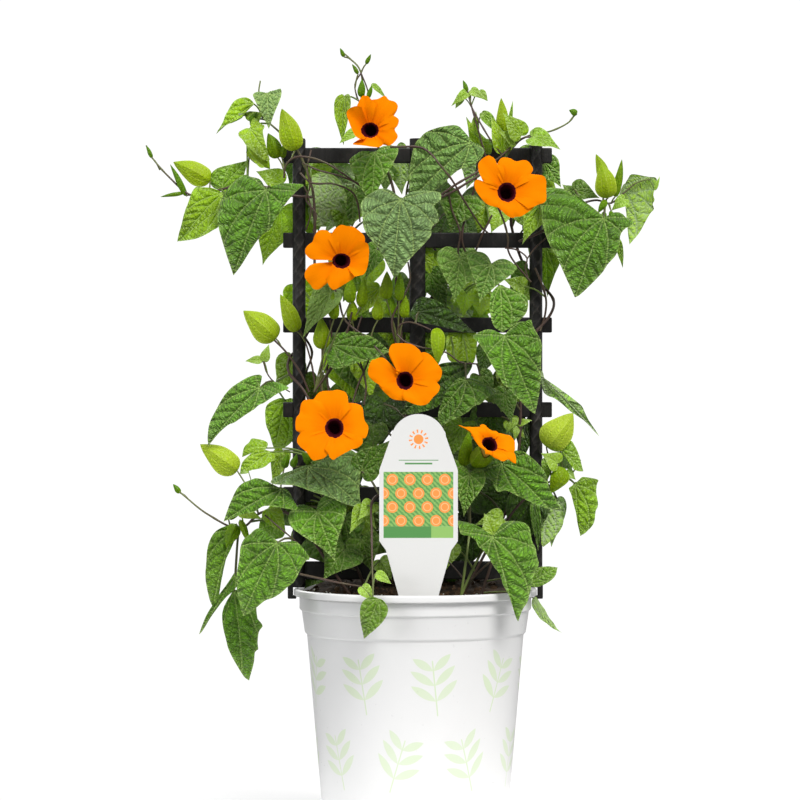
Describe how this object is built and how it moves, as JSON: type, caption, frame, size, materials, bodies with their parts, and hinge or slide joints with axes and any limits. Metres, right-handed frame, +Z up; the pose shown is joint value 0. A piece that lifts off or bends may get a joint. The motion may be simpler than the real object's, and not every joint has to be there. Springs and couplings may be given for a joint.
{
  "type": "potted black eyed susan vine",
  "caption": "Flowering climbing vine with orange dark-eyed flowers and heart-shaped leaves, on a ladder trellis clipped to a round nursery pot.",
  "frame": {"origin": "centre of the pot's flat base, on the surface that the pot stands on", "axes": "+Z up along the pot's axis, +X to the right along the trellis, -Y the front, where the label stands"},
  "size_m": [0.3434, 0.1764, 0.5298],
  "materials": {
    "pot_plastic": "satin white moulded plastic with a pale green print",
    "trellis_plastic": "black moulded plastic, grained like bark",
    "tag_plastic": "smooth white printed plastic sheet",
    "potting_mix": "loose dark peat and bark with perlite",
    "stem": "thin hairy brown-green stem",
    "mature_leaf": "quilted leaf, mid to dark green with lighter veins",
    "young_leaf": "soft yellow-green young leaf",
    "petal": "thin matt orange petal round a black-maroon throat"
  },
  "bodies": {
    "root": {"pot": "pot_plastic", "potting_soil": "potting_mix", "plant_tag": "tag_plastic", "trellis_post_left": "trellis_plastic", "trellis_post_middle": "trellis_plastic", "trellis_post_right": "trellis_plastic", "trellis_crossbar_1": "trellis_plastic", "trellis_crossbar_2": "trellis_plastic", "trellis_crossbar_3": "trellis_plastic", "trellis_crossbar_4": "trellis_plastic", "trellis_crossbar_5": "trellis_plastic", "trellis_base_bar": "trellis_plastic", "vine_left": "stem", "vine_left_outer": "stem", "vine_centre": "stem", "vine_right": "stem", "vine_right_outer": "stem", "vine_lower_left": "stem", "vine_lower_right": "stem", "vine_front": "stem", "vine_back": "stem", "flower_1": "petal", "flower_2": "petal", "flower_3": "petal", "flower_4": "petal", "flower_5": "petal", "flower_6": "petal", "leaf_upper_left_large": "mature_leaf", "leaf_upper_left_folded": "mature_leaf", "leaf_left_bay_lime": "young_leaf", "leaf_top_centre_small": "mature_leaf", "leaf_centre_large": "mature_leaf", "leaf_top_centre_large": "mature_leaf", "leaf_upper_right_large": "mature_leaf", "leaf_far_right": "young_leaf", "leaf_right_behind_post": "young_leaf", "leaf_right_bay_upper": "mature_leaf", "leaf_right_bay_second": "mature_leaf", "leaf_right_bay_upturned": "mature_leaf", "leaf_middle_dark": "mature_leaf", "leaf_left_post_front": "mature_leaf", "leaf_left_long": "mature_leaf", "leaf_left_lime_lower": "young_leaf", "leaf_centre_dark_large": "mature_leaf", "leaf_centre_right_toothed": "mature_leaf", "leaf_right_large": "mature_leaf", "leaf_right_trailing": "mature_leaf", "leaf_lower_right_mid": "mature_leaf", "leaf_lower_right_large": "mature_leaf", "leaf_far_right_lower": "young_leaf", "leaf_lower_left_upper": "mature_leaf", "leaf_lower_left_dark": "mature_leaf", "leaf_lower_left_large": "mature_leaf", "leaf_lower_left_far": "mature_leaf", "leaf_lower_left_hanging": "mature_leaf", "leaf_front_hanging": "mature_leaf", "leaf_back_upper": "mature_leaf", "leaf_back_left": "mature_leaf", "leaf_back_right": "mature_leaf", "leaf_back_lower": "mature_leaf"}
  },
  "joints": []
}
